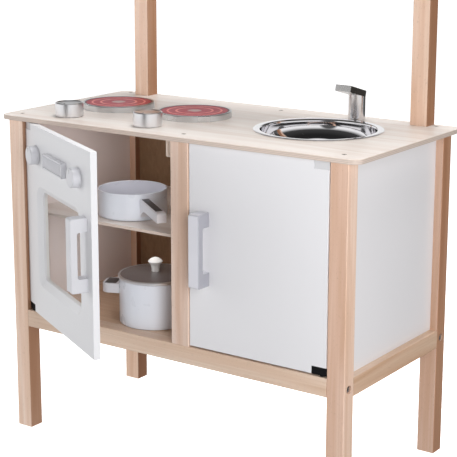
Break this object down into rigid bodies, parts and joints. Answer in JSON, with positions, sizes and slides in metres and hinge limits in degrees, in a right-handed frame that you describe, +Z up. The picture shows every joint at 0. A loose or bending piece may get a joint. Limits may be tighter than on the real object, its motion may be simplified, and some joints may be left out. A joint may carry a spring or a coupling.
{
  "type": "toy kitchen",
  "caption": "Wooden play kitchen with hob, lift-out sink, swivelling tap, windowed oven door, cupboard, upper shelf on posts, and a pan and lidded pot.",
  "frame": {"origin": "on the floor, under the middle of the whole object as it stands with its oven door ajar", "axes": "+X to the right as a child faces it, +Y towards the back, +Z up"},
  "size_m": [0.72, 0.5064, 1.008],
  "materials": {
    "beech": "oiled beech, fine vertical grain",
    "birch_plywood": "clear-lacquered birch plywood",
    "lacquered_board": "white lacquered fibreboard",
    "hardboard": "plain brown hardboard",
    "steel": "zinc-plated steel",
    "polished_steel": "polished stainless steel",
    "silver_plastic": "pearl silver, satin",
    "hotplate_red": "printed translucent disc",
    "white_plastic": "satin moulding",
    "black_plastic": "satin moulding",
    "clear_acrylic": "clear acrylic sheet",
    "enamel": "pale enamelled steel",
    "lid_grey": "dark grey enamel"
  },
  "bodies": {
    "frame": {"leg_front_left": "beech", "leg_front_right": "beech", "leg_rear_left": "beech", "leg_rear_right": "beech", "middle_post": "beech", "rear_middle_post": "beech", "frame_bolts": "steel", "rail_front": "beech", "rail_rear": "beech", "rail_left": "beech", "rail_right": "beech", "panel_left": "lacquered_board", "panel_right": "lacquered_board", "panel_back": "hardboard", "divider": "hardboard", "bottom_board": "birch_plywood", "oven_shelf": "birch_plywood", "cleats": "beech", "worktop": "birch_plywood", "worktop_screws": "steel", "upper_post_left": "beech", "upper_post_right": "beech", "upper_crossrail": "beech", "utensil_bar": "steel", "upper_shelf": "birch_plywood", "hotplate_left_base": "silver_plastic", "hotplate_left_top": "hotplate_red", "hotplate_right_base": "silver_plastic", "hotplate_right_top": "hotplate_red", "magnet_catches": "white_plastic"},
    "oven_door": {"oven_door": "lacquered_board", "oven_window_pane": "clear_acrylic", "oven_window_retainer": "white_plastic", "oven_handle": "silver_plastic", "oven_clock": "silver_plastic", "oven_hinge_top": "silver_plastic", "oven_hinge_bottom": "black_plastic", "oven_strike": "steel"},
    "oven_knob_left": {"oven_knob_left": "silver_plastic", "oven_spindle_left": "steel"},
    "oven_knob_right": {"oven_knob_right": "silver_plastic", "oven_spindle_right": "steel"},
    "cupboard_door": {"cupboard_door": "lacquered_board", "cupboard_handle": "silver_plastic", "cupboard_hinge_top": "silver_plastic", "cupboard_hinge_bottom": "black_plastic", "cupboard_strike": "steel"},
    "hob_knob_left": {"hob_knob_left": "silver_plastic", "hob_spindle_left": "steel"},
    "hob_knob_right": {"hob_knob_right": "silver_plastic", "hob_spindle_right": "steel"},
    "faucet": {"faucet_column": "silver_plastic", "faucet_spout": "silver_plastic"},
    "sink_bowl": {"sink_bowl": "polished_steel"},
    "pan": {"pan": "enamel", "pan_handle": "silver_plastic"},
    "pot": {"pot": "enamel", "pot_handles": "silver_plastic"},
    "pot_lid": {"pot_lid": "lid_grey", "pot_lid_knob": "white_plastic"}
  },
  "joints": [
    {"name": "oven_door_hinge", "type": "hinge", "parent": "frame", "child": "oven_door", "pos_m": [-0.299, -0.08328, 0.39375], "axis": [0, 0, -1], "range_deg": [-29, 76]},
    {"name": "cupboard_door_hinge", "type": "hinge", "parent": "frame", "child": "cupboard_door", "pos_m": [0.299, -0.08328, 0.39375], "axis": [0, 0, 1], "range_deg": [0, 105]},
    {"name": "oven_knob_left_turn", "type": "hinge", "parent": "oven_door", "child": "oven_knob_left", "pos_m": [-0.26056, -0.11087, 0.5123], "axis": [-0.4848, -0.8746, 0], "continuous": true},
    {"name": "oven_knob_right_turn", "type": "hinge", "parent": "oven_door", "child": "oven_knob_right", "pos_m": [-0.08126, -0.21026, 0.5123], "axis": [-0.4848, -0.8746, 0], "continuous": true},
    {"name": "hob_knob_left_turn", "type": "hinge", "parent": "frame", "child": "hob_knob_left", "pos_m": [-0.2465, -0.03928, 0.5715], "axis": [0, 0, 1], "continuous": true},
    {"name": "hob_knob_right_turn", "type": "hinge", "parent": "frame", "child": "hob_knob_right", "pos_m": [-0.0745, -0.03928, 0.5715], "axis": [0, 0, 1], "continuous": true},
    {"name": "faucet_swivel", "type": "hinge", "parent": "frame", "child": "faucet", "pos_m": [0.1755, 0.22072, 0.5715], "axis": [0, 0, 1], "range_deg": [-90, 90]},
    {"name": "sink_bowl_lift", "type": "slide", "parent": "frame", "child": "sink_bowl", "axis": [0, 0, 1], "range_m": [0, 0.035]},
    {"name": "pan_lift", "type": "slide", "parent": "frame", "child": "pan", "axis": [0, 0, 1], "range_m": [0, 0.06]},
    {"name": "pot_lift", "type": "slide", "parent": "frame", "child": "pot", "axis": [0, 0, 1], "range_m": [0, 0.025]},
    {"name": "pot_lid_lift", "type": "slide", "parent": "pot", "child": "pot_lid", "axis": [0, 0, 1], "range_m": [0, 0.025]}
  ]
}
